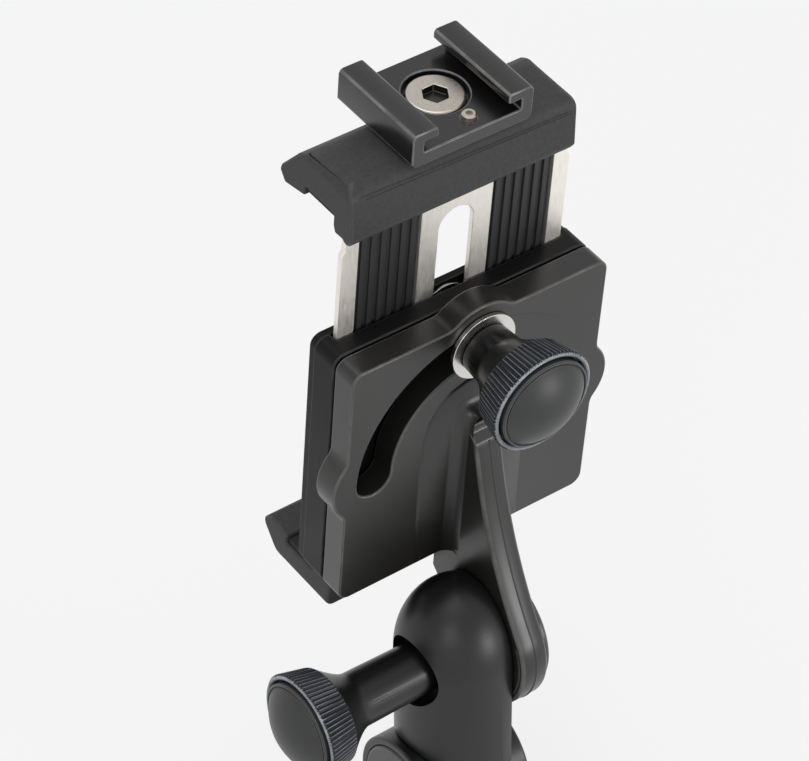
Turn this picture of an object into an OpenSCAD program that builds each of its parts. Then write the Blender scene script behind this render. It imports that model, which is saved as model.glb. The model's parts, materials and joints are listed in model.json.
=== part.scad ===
// Phone clamp on a tilting post: the phone is held between two jaws, the clamp turns
// a quarter turn each way on its rear plate, tilts on the post and folds at the base.
// Origin: mouth of the threaded socket under the base. +Z up the post, +Y to the phone.

/* [Clamp body] */
// Side of the square body
body_size = 51.4; // [48:0.2:58]
// Corner radius of the body
body_corner = 2.2; // [1:0.2:3.5]
// Thickness of the rear plate
plate_t = 4.8; // [4:0.1:7]
// Seam between the rear plate and the shell
seam_gap = 0.4; // [0.3:0.05:0.6]
// Depth of the shell's rear wall, behind the slider
shell_wall = 3.5; // [3.3:0.1:6]
// Thickness of the cover against the phone
cover_t = 1.4; // [0.7:0.1:2]
// Thickness of the soft pad on the cover
back_pad_t = 0.3; // [0.2:0.1:1]
// Radius of the arc slot's centre line about the pivot
arc_r = 20; // [18:0.1:20.4]
// Width of the arc slot
arc_slot_w = 6.8; // [6.4:0.1:7.4]
// Wall left round each end of the arc slot
arc_wall = 4.8; // [4:0.1:6.5]
// Fillet where an edge bulge meets the straight edge
bulge_fillet = 3; // [1:0.5:5]
// Turn of the clamp to each side
turn_deg = 90; // [45:5:90]
// Radius of the pivot pin
pivot_r = 4; // [3:0.1:5]

/* [Jaws and slider] */
// Distance between the two jaws at rest
jaw_opening = 77.9; // [70:0.1:84]
// Half width of both jaws
jaw_half_w = 22.1; // [20.5:0.1:24]
// Depth of the jaws, rear face to front lip
jaw_depth = 19.2; // [17:0.1:22]
// Height of the upper jaw above the phone's edge
jaw_rise = 8.4; // [7:0.1:10]
// Height of the lower jaw below the phone's edge
jaw_drop = 6.6; // [5.8:0.1:9]
// How far the lips reach over the phone's edge
lip_reach = 1.6; // [1:0.1:3]
// How far the rear leg of each jaw reaches over the phone's edge
leg_reach = 2.6; // [1.8:0.1:3]
// Thickness of the phone that the jaws are shaped for
phone_t = 7.3; // [6.5:0.1:9]
// Rounding of the jaws' outer corners, seen from behind
jaw_corner = 2.2; // [1:0.1:3]
// Thickness of the soft pads in the jaws
jaw_pad_t = 1.2; // [0.8:0.1:1.6]
// Width of the steel slider
slider_w = 45.2; // [42:0.1:46]
// Thickness of the steel slider
slider_t = 1; // [0.8:0.1:1.2]
// Width of the outer strips of the slider
outer_strip_w = 3.3; // [2.8:0.1:5]
// Width of the strips beside the slot
inner_strip_w = 3.6; // [3:0.1:4.5]
// Width of the slider's central slot
slider_slot_w = 6.9; // [6.5:0.1:7.5]
// Step in at each side where the slider enters the jaw
neck_step = 0.6; // [0.4:0.1:2]
// Number of ribs on each ribbed panel
panel_ribs = 6; // [4:1:9]
// Travel of the upper jaw when it closes
close_travel = 19; // [10:0.5:19]
// Travel of the upper jaw when it opens
open_travel = 13; // [5:0.5:15]

/* [Accessory shoe] */
// Length of the shoe
shoe_l = 19.7; // [18:0.1:23]
// Outer width of the shoe
shoe_w = 23.4; // [22.5:0.1:26]
// Width of the shoe's slot, under the lips
shoe_slot_w = 18.9; // [18.6:0.05:19]
// Gap between the lips
shoe_gap_w = 13.7; // [12.5:0.1:14.5]
// Offset of the shoe from the middle plane
shoe_x = 0.6; // [-1:0.1:1]
// Height of the slot
shoe_slot_h = 2.15; // [2.1:0.05:2.4]
// Thickness of the shoe's floor
shoe_floor = 2.6; // [2:0.1:3.2]
// Thickness of the lips
shoe_lip = 1.8; // [1.4:0.1:2.2]

/* [Knobs] */
// Radius over the knurl
grip_r = 9.9; // [9:0.1:12]
// Length of the knurled ring
grip_l = 5.8; // [4:0.1:9]
// Number of teeth in the knurl
grip_teeth = 74; // [40:2:90]
// Depth of the knurl
grip_cut = 0.35; // [0.2:0.05:0.5]
// Radius of the knurl's rear end
grip_rear_r = 8.6; // [8.3:0.1:9.5]
// Radius of the domed cap
cap_r = 8.4; // [7.8:0.1:8.8]
// Rise of the domed cap
cap_rise = 2.9; // [1:0.1:3.5]
// Radius of the knob's neck
neck_r = 4.65; // [4.2:0.05:5.5]
// How much wider the neck is where the flare begins
neck_grow = 0.25; // [0:0.05:0.5]
// Length of the flare between neck and knurl
flare_l = 5.4; // [3:0.1:7]
// Length of the turning knob's neck
turn_neck_l = 4.1; // [3:0.1:8]
// Length of the tilt knob's shaft, from the post's side to the flare
tilt_shaft_l = 10.9; // [8:0.1:18]

/* [Arm and post] */
// Thickness of the arm's blade
blade_t = 5.3; // [4:0.1:6]
// Thickness of the arm at its eye
eye_t = 5.4; // [5:0.1:7]
// Radius of the arm's eye
eye_r = 12.5; // [11:0.1:14]
// Height of the pivot above the tilt axis, along the clamp
pivot_up = 39.6; // [38:0.1:48]
// Distance of the seam in front of the tilt axis
seam_ahead = 14.3; // [12:0.1:18]
// Lean of the clamp at rest
lean_deg = 6.3; // [0:0.1:12]
// Radius of the post
post_r = 10.9; // [9.5:0.1:12]
// Distance of the post's flat from its axis
flat_x = 3.85; // [3.5:0.05:5]
// Height of the domed top over its centre
dome_h = 14.2; // [12:0.1:17]
// Distance between the tilt axis and the fold axis
post_l = 27.9; // [26.5:0.1:36]
// Radius of the tilt bolt
bolt_r = 2.5; // [2:0.1:3]
// Radius of the washer between the post and the arm
tilt_washer_r = 7; // [6:0.1:8]
// Fillet between the arm and the rear plate
root_fillet = 2.6; // [1:0.1:3]
// Side gap between the post and the arm
side_gap = 0.3; // [0.2:0.05:0.5]

/* [Base] */
// Radius of the foot
foot_r = 17; // [15:0.5:22]
// Height of the foot
foot_h = 9.2; // [7.5:0.1:11]
// Radius of the hinge ears
ear_r = 11; // [10:0.1:12]
// Thickness of each ear
ear_t = 5.6; // [4.5:0.1:6.5]
// Thickness of the post's tongue between the ears
tongue_t = 8.4; // [7:0.1:10]
// Radius of the fold pin
pin_r = 2.5; // [2:0.1:3]
// Wall radius of the threaded socket
socket_r = 2.55; // [2.5:0.05:2.7]
// Depth of the threaded socket
socket_l = 8; // [6:0.1:8.5]

/* [Hidden] */

$fn = 96;
eps = 0.01;
fit = 0.05;                       // radial running clearance of pins and shafts
clear = 0.3;                      // clearance between faces that pass each other
edge = 0.6;                       // small chamfer on moulded edges

// Heights of the base
pad_t = 1.2;                      // foot pad, proud of the rim
pad_proud = 0.4;
fold_z = pad_proud + foot_h + max(post_r, ear_r) + 0.8;
tilt_z = fold_z + post_l;
barrel_x = -2.45;                 // middle of the hinge barrel
barrel_half = tongue_t/2 + clear + ear_t;
cap_seat = 0.8;                   // depth of the recess for the fold caps
fold_cap_r = ear_r - 1.6;
fold_cap_t = 1;

// Across the clamp
arm_x = flat_x + side_gap;        // left face of the arm
clamp_x = arm_x + blade_t/2;      // middle plane of the clamp

// Through the depth of the clamp, from the seam, y = 0
plate_rear = -plate_t - seam_gap/2;
shell_rear = seam_gap/2;
slider_rear = shell_rear + shell_wall + 0.1;
rib_step = 0.3;                   // ribs lie this far in from the strips
rib_h = 0.45;
panel_t = 0.6;                    // flange of a ribbed panel, before the slider
slider_front = slider_rear + slider_t;
channel_front = slider_front + panel_t + 0.15;
cover_front = channel_front + cover_t;
phone_back = cover_front + back_pad_t;
half = body_size/2;
channel_bottom = -half + 4;
strip_w = min(slider_w, body_size - 5.4);  // the slider stays inside the cover's screws
channel_half = strip_w/2 + 0.15;

// Jaw heights above and below the pivot
phone_low = -half - 4.25;         // lower edge of the phone
phone_high = phone_low + jaw_opening;
jaw_rear = shell_rear + 2;
jaw_front = jaw_rear + jaw_depth;
jaw_top = phone_high + jaw_rise;
leg_low = phone_high - leg_reach; // lower end of the upper jaw's rear leg
phone_mid = phone_back + 0.1 + phone_t/2;

// Slider, at rest
stud_r = 2.9;
slot_top = arc_r + stud_r + close_travel + 0.8;
slot_low = arc_r - stud_r - open_travel - 0.8;
slider_low = slot_low - 4.6;
slider_top = jaw_top - 3;
window_w = (strip_w - slider_slot_w)/2 - inner_strip_w - outer_strip_w;
window_mid = slider_slot_w/2 + inner_strip_w + window_w/2;
window_low = slot_low - 0.5;
window_high = leg_low + 0.45;
stud_head_r = 5;
stud_head_t = panel_t - 0.05;

// Knobs
washer_r = 6.3;
washer_t = 0.8;
cap_seat_l = 1.4;                 // depth of the cap's seat
cap_proud = 0.6;                  // the cap's edge stands this far out of the knurl
cap_groove = 0.7;                 // from the cap's edge to its groove
turn_face = plate_rear - washer_t - 0.1;
stud_reach = turn_neck_l + flare_l + 1.4;
knob_bore = stud_reach + 1;
core_r = grip_rear_r - 1;
screw_r = 1;                      // lower jaw's screws
screw_head_r = 1.9;
screw_drop = 0.1 + jaw_pad_t + 1.3;
screw_x = 0.4*jaw_half_w;
tongue_drop = screw_drop + 1.4;

seat = 0.02;                      // clearance of parts fixed to each other
foot_top = pad_proud + foot_h;
insert_r = 4.5;
shoe_top = jaw_top + shoe_floor + shoe_slot_h + shoe_lip;
shoe_rear = jaw_rear + 0.2;
shoe_screw_x = shoe_x + 0.8;
shoe_screw_y = shoe_rear + shoe_l/2 + 0.9;
shoe_head_r = 4.9;
arm_curve = 90;                   // curve of the arm's rear edge
arm_top = 6.7;                    // height of the arm's root over the pivot
arm_proud = 4.2;                  // how far the arm stands proud of the plate near its top
bolt_end = tilt_shaft_l - 1.5;    // reach of the tilt bolt into the knob's shaft
hole_r = 6.4;                     // shaft hole in the post
hole_floor = -6.4;

function arc(r, a0, a1, n, c = [0, 0]) =
    [for (i = [0:n]) let (a = a0 + (a1 - a0)*i/n) c + r*[cos(a), sin(a)]];
function turn(p, a) = [for (q = p) [q.x*cos(a) - q.y*sin(a), q.x*sin(a) + q.y*cos(a)]];

// One corner of a square of half side h, and the whole square
function corner(h, r) = arc(r, 0, 90, 6, [h - r, h - r]);
function rounded_square(h, r) = [for (k = [0:3]) each turn(corner(h, r), 90*k)];

// Bulge on the edge x = h round the slot's end at x = arc_r, with a fillet at each side
function bulge(h, r, f) =
    arc_r + r < h + 0.1 ? [] :
    let (dx = h + f - arc_r, dy = sqrt((r + f)*(r + f) - dx*dx), a = atan2(dy, dx))
    concat(arc(f, 180, 180 - a, 5, [h + f, -dy]),
           arc(r, 3 - a, a - 3, 12, [arc_r, 0]),
           arc(f, 180 + a, 180, 5, [h + f, dy]));
function plate_outline() =
    [for (k = [0:3]) each concat(
        k == 3 ? [] : turn(bulge(half, arc_slot_w/2 + arc_wall, bulge_fillet), 90*k),
        turn(corner(half, body_corner), 90*k))];

module place_clamp() {
    translate([clamp_x, 0, tilt_z]) rotate([lean_deg, 0, 0])
        translate([0, seam_ahead, pivot_up]) children();
}
// A drawing in x, z with its thickness from y0 to y1
module slab(y0, y1) {
    translate([0, y1, 0]) rotate([90, 0, 0]) linear_extrude(y1 - y0) children();
}
// A drawing in y, z made solid from x0 to x1
module along_x(x0, x1) {
    translate([x0, 0, 0]) rotate([90, 0, 90]) linear_extrude(x1 - x0) children();
}
module rod_x(r, x0, x1) { translate([x0, 0, 0]) rotate([0, 90, 0]) cylinder(r = r, h = x1 - x0); }
module rod_y(r, y0, y1) { translate([0, y0, 0]) rotate([-90, 0, 0]) cylinder(r = r, h = y1 - y0); }
module box_span(x0, x1, y0, y1, z0, z1) {
    translate([x0, y0, z0]) cube([x1 - x0, y1 - y0, z1 - z0]);
}
module both_sides() { children(); mirror([1, 0, 0]) children(); }

// Base: foot with two hinge ears
module base() {
    color("#3a3a3c") difference() {
        union() {
            rotate_extrude() polygon([[0, pad_proud], [foot_r - edge, pad_proud],
                [foot_r, pad_proud + edge], [foot_r, foot_top - 2], [foot_r - 2, foot_top],
                [0, foot_top]]);
            translate([barrel_x, 0, 0]) both_sides()
                translate([0, 0, fold_z]) {
                    rod_x(ear_r, tongue_t/2 + clear, barrel_half);
                    box_span(tongue_t/2 + clear, barrel_half, -4.5, 4.5, foot_top - fold_z - 1, 0);
                }
        }
        translate([0, 0, -1]) cylinder(r = insert_r + seat, h = socket_l + 1 + seat);
        translate([0, 0, pad_proud - 1]) difference() {
            cylinder(r = foot_r - 1.5, h = pad_t + 1 - pad_proud);
            cylinder(r = insert_r + 1, h = pad_t + 2);
        }
        translate([barrel_x, 0, fold_z]) {
            rod_x(pin_r + seat, -barrel_half - 1, barrel_half + 1);
            both_sides() rod_x(fold_cap_r + seat, barrel_half - cap_seat, barrel_half + 1);
        }
    }
}
module foot_pad() {
    color("#1b1b1c") difference() {
        cylinder(r = foot_r - 1.5 - seat, h = pad_t - seat);
        translate([0, 0, -1]) cylinder(r = insert_r + 1 + seat, h = pad_t + 2);
    }
}
module thread_insert() {
    color("#c9a45a") difference() {
        cylinder(r = insert_r, h = socket_l);
        translate([0, 0, -1]) cylinder(r = socket_r, h = socket_l + 2);
    }
}
module fold_pin() {
    color("#b9b7b2") translate([barrel_x, 0, fold_z])
        rod_x(pin_r, -barrel_half + cap_seat + seat, barrel_half - cap_seat - seat);
}
module fold_cap() {
    translate([barrel_half - cap_seat, 0, 0]) rotate([0, 90, 0])
        rotate_extrude() polygon([[0, 0.01], [fold_cap_r, 0.01], [fold_cap_r, fold_cap_t - 0.3],
            [fold_cap_r - 0.3, fold_cap_t], [0, fold_cap_t]]);
}
module fold_cap_left() {
    color("#343436") translate([barrel_x, 0, fold_z]) mirror([1, 0, 0]) fold_cap();
}
module fold_cap_right() { color("#343436") translate([barrel_x, 0, fold_z]) fold_cap(); }

// Post: D-shaped column with a domed top and a tongue at its foot
module post() {
    tongue0 = barrel_x - tongue_t/2;
    tongue1 = barrel_x + tongue_t/2;
    color("#3b3b3d") difference() {
        union() {
            translate([0, 0, fold_z]) cylinder(r = post_r, h = post_l + 0.5);
            translate([0, 0, tilt_z + 0.5 - eps]) rotate_extrude()
                polygon(concat([[0, 0], [post_r, 0]], [for (i = [1:15])
                    [post_r*pow(cos(90*i/16), 1.12), dome_h*sin(90*i/16)]], [[0, dome_h]]));
            translate([0, 0, fold_z]) rod_x(ear_r, tongue0, tongue1);
        }
        box_span(flat_x, 20, -20, 20, fold_z - 20, tilt_z + 30);
        for (side = [[-30, tongue0], [tongue1, 30]]) {
            translate([0, 0, fold_z]) rod_x(ear_r + 0.5, side[0], side[1]);
            box_span(side[0], side[1], -20, 20, fold_z - 20, fold_z + 5);
        }
        translate([0, 0, fold_z]) rod_x(pin_r + fit, -20, 20);
        translate([0, 0, tilt_z]) {
            rod_x(bolt_r + fit, -20, 20);
            rod_x(hole_r, -20, hole_floor);
            rod_x(tilt_washer_r + seat, flat_x - 0.65, 20);
        }
    }
}
module tilt_washer() {
    color("#55565a") translate([0, 0, tilt_z]) difference() {
        rod_x(tilt_washer_r, flat_x - 0.65, flat_x + 0.15);
        rod_x(bolt_r + fit, 0, 20);
    }
}

// Rear plate and arm: one casting
module arm_outline() {
    d = [seam_ahead + plate_rear - arm_proud, pivot_up + 1.6];  // top of the curve, from the eye
    k = (eye_r + arm_curve)*(eye_r + arm_curve) + d*d - arm_curve*arm_curve;
    phi = atan2(d.x, d.y) + asin(k/(2*(eye_r + arm_curve)*norm(d)));
    c = (eye_r + arm_curve)*[-cos(phi), sin(phi)];
    a1 = atan2(d.y - c.y, d.x - c.x);
    front = seam_ahead - seam_gap/2 - 0.8;
    inner = eye_r - 0.3;
    polygon(concat([[seam_ahead - 1, pivot_up + arm_top - 1],
                    [seam_ahead + plate_rear, pivot_up + arm_top - 0.4]],
                   arc(arm_curve, a1, -phi - 1, 16, c),
                   [inner*[-cos(phi - 6), sin(phi - 6)], [0, 0], inner*[cos(18), sin(18)],
                    [front - 1.4, eye_r*0.4], [front, eye_r*0.5], [front, pivot_up - half - 0.6]]));
}
module arc_slot() {
    w = arc_slot_w/2;
    a0 = 90 - turn_deg;
    a1 = 90 + turn_deg;
    polygon(concat(arc(arc_r + w, a0, a1, 40),
                   arc(w, a1 + 15, a1 + 165, 10, arc_r*[cos(a1), sin(a1)]),
                   arc(arc_r - w, a1, a0, 36),
                   arc(w, a0 + 195, a0 + 345, 10, arc_r*[cos(a0), sin(a0)])));
}
// Fillets of the arm's root, in x, y
module root() {
    f = root_fillet;
    b = blade_t/2;
    both_sides() polygon(concat([[0, plate_rear + 0.5], [b + f, plate_rear + 0.5]],
        arc(f, 90, 180, 5, [b + f, plate_rear - f]), [[0, plate_rear - f]]));
}
module arm_plate() {
    color("#47474a") place_clamp() difference() {
        union() {
            slab(plate_rear, -seam_gap/2) polygon(plate_outline());
            translate([0, -seam_ahead, -pivot_up]) {
                along_x(-blade_t/2, blade_t/2) arm_outline();
                translate([-blade_t/2, 0, 0]) rotate([0, 90, 0]) rotate_extrude()
                    polygon([[0, 0], [eye_r - 0.7, 0], [eye_r, 0.7], [eye_r, eye_t - 0.5],
                             [eye_r - 0.5, eye_t], [0, eye_t]]);
            }
            translate([0, 0, -half]) linear_extrude(half + arm_top - 1.8) root();
        }
        slab(plate_rear - 1, 1) arc_slot();
        rod_y(pivot_r + seat, plate_rear + 0.7, 1);
        translate([0, -seam_ahead, -pivot_up]) {
            rod_x(bolt_r + seat, -10, 10);
            rod_x(5 + seat, eye_t - blade_t/2 - 3, 10);
        }
    }
}
module eye_cap() {
    color("#404043") translate([arm_x + eye_t, 0, tilt_z]) rotate([0, 90, 0])
        rotate_extrude() polygon([[0, 0], [eye_r - 0.9, 0], [eye_r - 0.9, 0.9], [eye_r - 1.2, 1.3],
                                  [eye_r - 1.9, 1.6], [eye_r - 4, 1.75], [0, 1.8]]);
}
module tilt_bolt() {
    color("#a9a7a2") translate([0, 0, tilt_z]) {
        rod_x(bolt_r, -post_r - bolt_end, arm_x + eye_t - 2.9);
        translate([arm_x + eye_t - 2.95, 0, 0]) rotate([0, 90, 0]) cylinder(r = 4.9, h = 2.8, $fn = 6);
    }
}
module pivot_pin() {
    color("#a9a7a2") place_clamp() {
        rod_y(pivot_r, plate_rear + 0.75, shell_rear + shell_wall - 1.2);
        rod_y(pivot_r + 2.2, shell_rear + shell_wall - 1.3, shell_rear + shell_wall - 0.1);
    }
}
module pivot_washer() {
    color("#8f8f92") place_clamp() difference() {
        rod_y(pivot_r + 2.5, shell_rear + shell_wall - 2, shell_rear + shell_wall - 1.45);
        rod_y(pivot_r + fit, -5, 9);
    }
}

// Knobs, drawn along +Z from the seat of the neck; bore is blind
module knob_core(neck_l, bore_r, bore_l) {
    s1 = neck_l + flare_l;
    end_r = neck_r + neck_grow;
    rear_r = grip_rear_r - 0.15;
    difference() {
        rotate_extrude() polygon(concat([[0, 0], [neck_r - 0.3, 0], [neck_r, 0.3]],
            [for (i = [0:6]) [end_r + (rear_r - end_r)*pow(i/6, 1.35), neck_l + flare_l*i/6]],
            [[core_r, s1], [core_r, s1 + grip_l - cap_seat_l], [0, s1 + grip_l - cap_seat_l]]));
        translate([0, 0, -1]) cylinder(r = bore_r, h = bore_l + 1);
    }
}
module knob_grip(neck_l) {
    n = grip_teeth;
    k = grip_rear_r/grip_r;
    translate([0, 0, neck_l + flare_l]) difference() {
        intersection() {
            linear_extrude(grip_l, scale = 1/k) polygon([for (i = [0:2*n - 1])
                (i % 2 == 0 ? grip_rear_r : grip_rear_r - grip_cut)*[cos(180*i/n), sin(180*i/n)]]);
            rotate_extrude() polygon([[0, -1], [grip_rear_r - 0.05, -1], [grip_rear_r - 0.05, 0.2],
                [grip_r + 0.4, 0.25*grip_l + 1.2], [grip_r + 0.4, grip_l - 1.1],
                [grip_r - 0.65, grip_l - 0.05], [grip_r - 0.65, grip_l + 1], [0, grip_l + 1]]);
        }
        translate([0, 0, -1]) cylinder(r = core_r + seat, h = grip_l + 2);
        translate([0, 0, grip_l - cap_seat_l]) rotate_extrude() polygon([[0, 0], [cap_r + 0.3, 0],
            [cap_r + 0.3, cap_seat_l - 0.4], [cap_r + 0.75, cap_seat_l + 0.2], [0, cap_seat_l + 0.2]]);
    }
}
module knob_cap(neck_l) {
    z0 = neck_l + flare_l + grip_l - cap_seat_l + seat;
    z1 = cap_seat_l + cap_proud;
    rim = cap_r - cap_groove;
    big = (rim*rim + cap_rise*cap_rise)/(2*cap_rise);
    a0 = asin(rim/big);
    translate([0, 0, z0]) rotate_extrude() polygon(concat([[0, 0], [cap_r - 0.2, 0], [cap_r, 0.2],
        [cap_r, z1 - 0.25], [cap_r - 0.25, z1], [rim + 0.3, z1], [rim + 0.15, z1 - 0.25],
        [rim, z1 - 0.25]], [for (i = [0:9]) let (a = a0*(1 - i/9))
            [big*sin(a), z1 + big*(cos(a) - cos(a0))]]));
}
module place_turn_knob() {
    place_clamp() translate([0, turn_face - 0.05, arc_r]) rotate([90, 0, 0]) children();
}
module turn_knob_body() {
    color("#2f3033") place_turn_knob() difference() {
        knob_core(turn_neck_l, stud_r + fit, knob_bore);
        translate([0, 0, -1]) cylinder(r = stud_r + 0.9 + seat, h = 1 + turn_neck_l);
    }
}
module turn_knob_grip() { color("#34363d") place_turn_knob() knob_grip(turn_neck_l); }
module turn_knob_cap() { color("#4a4b4f") place_turn_knob() knob_cap(turn_neck_l); }
module turn_knob_nut() {
    color("#c9a45a") place_turn_knob() difference() {
        cylinder(r = stud_r + 0.9, h = turn_neck_l - seat);
        translate([0, 0, -1]) cylinder(r = stud_r + fit, h = 20);
    }
}
tilt_seat = hole_floor - 0.1;
tilt_neck_l = post_r + tilt_seat + tilt_shaft_l;
nut_l = 6;                        // brass bush in the tilt knob's shaft
module place_tilt_knob() {
    translate([tilt_seat, 0, tilt_z]) rotate([0, -90, 0]) children();
}
module tilt_knob_body() {
    color("#2f3033") place_tilt_knob() difference() {
        knob_core(tilt_neck_l, bolt_r + fit, bolt_end + post_r + tilt_seat + 0.6);
        translate([0, 0, -1]) cylinder(r = bolt_r + 0.9 + seat, h = 1 + nut_l);
    }
}
module tilt_knob_grip() { color("#34363d") place_tilt_knob() knob_grip(tilt_neck_l); }
module tilt_knob_cap() { color("#4a4b4f") place_tilt_knob() knob_cap(tilt_neck_l); }
module tilt_knob_nut() {
    color("#c9a45a") place_tilt_knob() difference() {
        cylinder(r = bolt_r + 0.9, h = nut_l - seat);
        translate([0, 0, -1]) cylinder(r = bolt_r + fit, h = 20);
    }
}

// Clamp body in front of the rear plate
module shell() {
    color("#29292b") place_clamp() difference() {
        slab(shell_rear, channel_front) polygon(rounded_square(half, body_corner));
        box_span(-channel_half, channel_half, slider_rear - 0.1, 20, channel_bottom, 99);
        rod_y(pivot_r + fit, -5, 20);
        rod_y(pivot_r + 2.9, shell_rear + shell_wall - 2.05, 20);
        translate([0, 0, arc_r]) rod_y(stud_r + seat, -5, 20);
        cover_holes(0.8 + seat, 2.2);
    }
}
module cover_holes(r, y0) {
    for (x = [-1, 1], z = [-1, 1])
        translate([x*(half - 1.5), 0, z*(half - 4)]) rod_y(r, y0, 20);
}
module cover() {
    color("#2c2c2e") place_clamp() difference() {
        union() {
            slab(channel_front, cover_front) polygon(rounded_square(half - 0.2, body_corner - 0.2));
            box_span(-14, 14, channel_front, cover_front, phone_low - tongue_drop, -half + 5);
        }
        cover_holes(0.8 + seat, 0);
        for (x = [-1, 1]) translate([screw_x*x, 0, phone_low - screw_drop]) rod_y(screw_r + seat, 0, 20);
    }
}
module cover_screws() {
    color("#2a2a2b") place_clamp() intersection() {
        union() {
            cover_holes(0.8, 2.3);
        }
        slab(0, cover_front) square(3*half, center = true);
    }
}
module back_pad() {
    color("#1d1d1e") place_clamp()
        slab(cover_front, phone_back) polygon(rounded_square(half - 3.2, 2.5));
}
module clamp_stud() {
    color("#b9b7b2") place_clamp() translate([0, 0, arc_r]) {
        rod_y(stud_r, turn_face - stud_reach, slider_front + 0.15);
        rod_y(stud_head_r, slider_front + 0.1, slider_front + 0.1 + stud_head_t - 0.05);
    }
}
module turn_washer() {
    color("#cfcdc8") place_clamp() translate([0, 0, arc_r]) difference() {
        rod_y(washer_r, turn_face, plate_rear - 0.1);
        rod_y(stud_r + seat, -20, 20);
    }
}

// A jaw's section in y, z, for an edge of the phone at z = 0 and the jaw above it;
// r rounds its rear edge and f slopes its front edge
module jaw_section(rise, rear, front, r, f) {
    in = phone_mid - phone_t/2 - 0.15;
    out = phone_mid + phone_t/2 + 0.15;
    polygon(concat([[rear, 1.3 - leg_reach]],
        arc(r, 172, 90, 6, [rear + 0.5 + r, rise - r]),
        [[front - 5.2 - 2.2*f, rise], [front - 5 - 0.9*f, rise - 0.3*f - 0.1],
         [front - 4.4, rise - f - 0.4], [front - 0.3, 1.4], [front, 0.6], [front - 0.1, 0.1],
         [front - 1.4, -lip_reach], [out, -0.6], [out, 0.1 + jaw_pad_t], [in, 0.1 + jaw_pad_t],
         [in, -0.8], [in - 0.5, 0.35 - leg_reach], [slider_front, 0.35 - leg_reach],
         [slider_rear, -leg_reach], [rear + 0.9, -leg_reach]]));
}
// A jaw, from its section and its rounded outline as seen from behind
module jaw_block(rise, r, f) {
    w = jaw_half_w;
    c = jaw_corner;
    intersection() {
        along_x(-w - 1, w + 1) jaw_section(rise, jaw_rear, jaw_front, r, f);
        slab(jaw_rear - 1, jaw_front + 1) polygon(concat([[-w, -9], [w, -9]],
            arc(c, 0, 90, 6, [w - c, rise - c]), arc(c, 90, 180, 6, [c - w, rise - c])));
    }
}
module jaw_pad_block() {
    box_span(-jaw_half_w + 0.6, jaw_half_w - 0.6, phone_mid - phone_t/2 - 0.15 + seat,
             phone_mid + phone_t/2 + 0.15 - seat, 0.1, 0.1 + jaw_pad_t - seat);
}
module lower_jaw() {
    color("#303032") place_clamp() translate([0, 0, phone_low]) mirror([0, 0, 1]) difference() {
        jaw_block(jaw_drop, 1, 0);
        box_span(-14 - seat, 14 + seat, channel_front - seat, cover_front + seat, -5, tongue_drop + seat);
        for (x = [-1, 1]) translate([screw_x*x, 0, screw_drop]) {
            rod_y(screw_r + seat, -5, cover_front + 3);
            rod_y(screw_head_r + seat, -5, jaw_rear + 1.9);
        }
    }
}
module lower_jaw_pad() {
    color("#1b1b1c") place_clamp() translate([0, 0, phone_low]) mirror([0, 0, 1]) jaw_pad_block();
}
module lower_jaw_screws() {
    color("#2a2a2b") place_clamp() for (x = [-1, 1])
        translate([screw_x*x, 0, phone_low - screw_drop]) {
            rod_y(screw_r, jaw_rear + 1, cover_front + 2.9);
            rod_y(screw_head_r, jaw_rear + 0.7, jaw_rear + 1.9 - seat);
        }
}

// Slider, its ribbed panels, the upper jaw and the shoe
module slider_plate() {
    neck_z = leg_low - 1.4;
    n = strip_w/2 - neck_step;
    color("#b5afa4") place_clamp() slab(slider_rear, slider_front) difference() {
        union() {
            translate([-strip_w/2, slider_low]) square([strip_w, neck_z - 1 - slider_low]);
            polygon([[-strip_w/2, neck_z - 2], [strip_w/2, neck_z - 2], [strip_w/2, neck_z - 1],
                     [n, neck_z], [n, slider_top], [-n, slider_top], [-n, neck_z],
                     [-strip_w/2, neck_z - 1]]);
        }
        for (s = [-1, 1]) translate([s*window_mid - window_w/2, window_low])
            square([window_w, window_high - window_low]);
        translate([-slider_slot_w/2, slot_low + slider_slot_w/2])
            square([slider_slot_w, slot_top - slot_low - slider_slot_w]);
        for (z = [slot_low + slider_slot_w/2, slot_top - slider_slot_w/2])
            translate([0, z]) circle(r = slider_slot_w/2);
    }
}
module rib_panel() {
    pitch = (window_w - 0.6)/panel_ribs;
    x0 = window_mid - window_w/2;
    box_span(x0 - 0.8, x0 + window_w + 0.8, slider_front, slider_front + panel_t,
             window_low - 0.8, window_high - 0.2);
    box_span(x0 + seat, x0 + window_w - seat, slider_rear + rib_step + rib_h, slider_front + eps,
             window_low + seat, window_high - 0.2);
    for (i = [0:panel_ribs - 1])
        box_span(x0 + 0.3 + pitch*(i + 0.25), x0 + 0.3 + pitch*(i + 0.75), slider_rear + rib_step,
                 slider_front, window_low + 0.4, window_high - 0.2);
}
module rib_panel_right() { color("#2b2b2d") place_clamp() rib_panel(); }
module rib_panel_left() { color("#2b2b2d") place_clamp() mirror([1, 0, 0]) rib_panel(); }
module upper_jaw() {
    w = strip_w/2 - neck_step + seat;
    color("#303032") place_clamp() difference() {
        translate([0, 0, phone_high]) jaw_block(jaw_rise, 3.3, 1.6);
        box_span(-w, w, slider_rear - seat, slider_front + seat, leg_low - 5, slider_top + seat);
        translate([shoe_screw_x, shoe_screw_y, jaw_top - 7]) cylinder(r = 2 + seat, h = 9);
    }
}
module upper_jaw_pad() {
    color("#1b1b1c") place_clamp() translate([0, 0, phone_high]) jaw_pad_block();
}
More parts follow.
